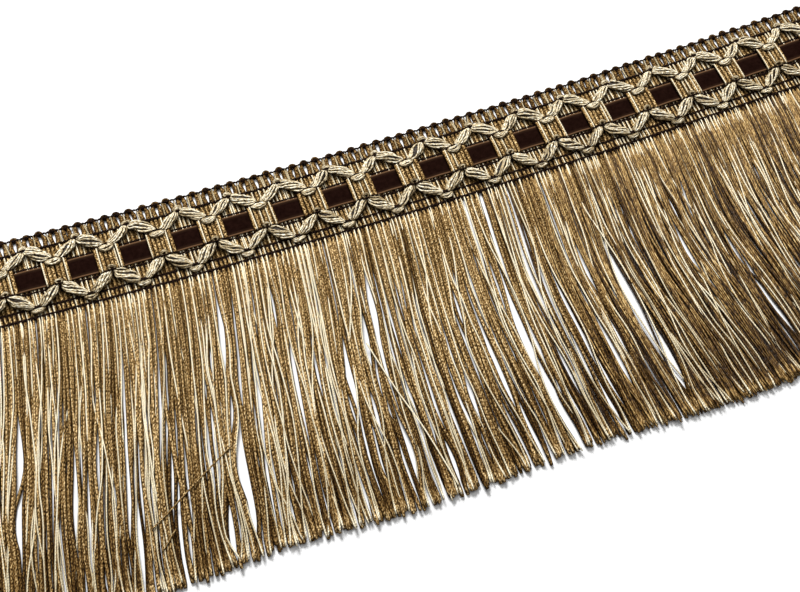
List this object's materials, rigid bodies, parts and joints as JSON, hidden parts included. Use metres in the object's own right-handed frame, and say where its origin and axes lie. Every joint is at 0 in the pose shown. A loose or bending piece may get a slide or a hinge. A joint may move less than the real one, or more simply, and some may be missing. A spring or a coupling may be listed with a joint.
{
  "type": "tassel fringe trim",
  "caption": "Cut length of woven trim: a heading with a laced dark ribbon and two zig-zag gimp cords, picot loops on its top edge and a long cut fringe of tan and cream strands.",
  "frame": {"origin": "on the heading's flat back, under the ribbon's centre line, at the middle of the cut length", "axes": "+X along the heading, +Y to the edge with the picot loops (the fringe hangs to -Y), +Z out of the face"},
  "size_m": [0.3219, 0.127, 0.0039],
  "materials": {
    "tan_yarn": "matt twisted crepe yarn, tan flecked with dark brown",
    "cream_yarn": "soft cream yarn with a silky sheen",
    "ribbon": "dull dark brown woven ribbon",
    "dark_thread": "matt dark brown thread"
  },
  "bodies": {
    "root": {"heading_ground": "tan_yarn", "ribbon": "ribbon", "gimp_upper": "cream_yarn", "gimp_lower": "cream_yarn", "warp_thread_edge": "dark_thread", "warp_thread_upper": "dark_thread", "warp_thread_lower": "dark_thread", "warp_thread_root": "dark_thread", "fringe": "tan_yarn"}
  },
  "joints": []
}
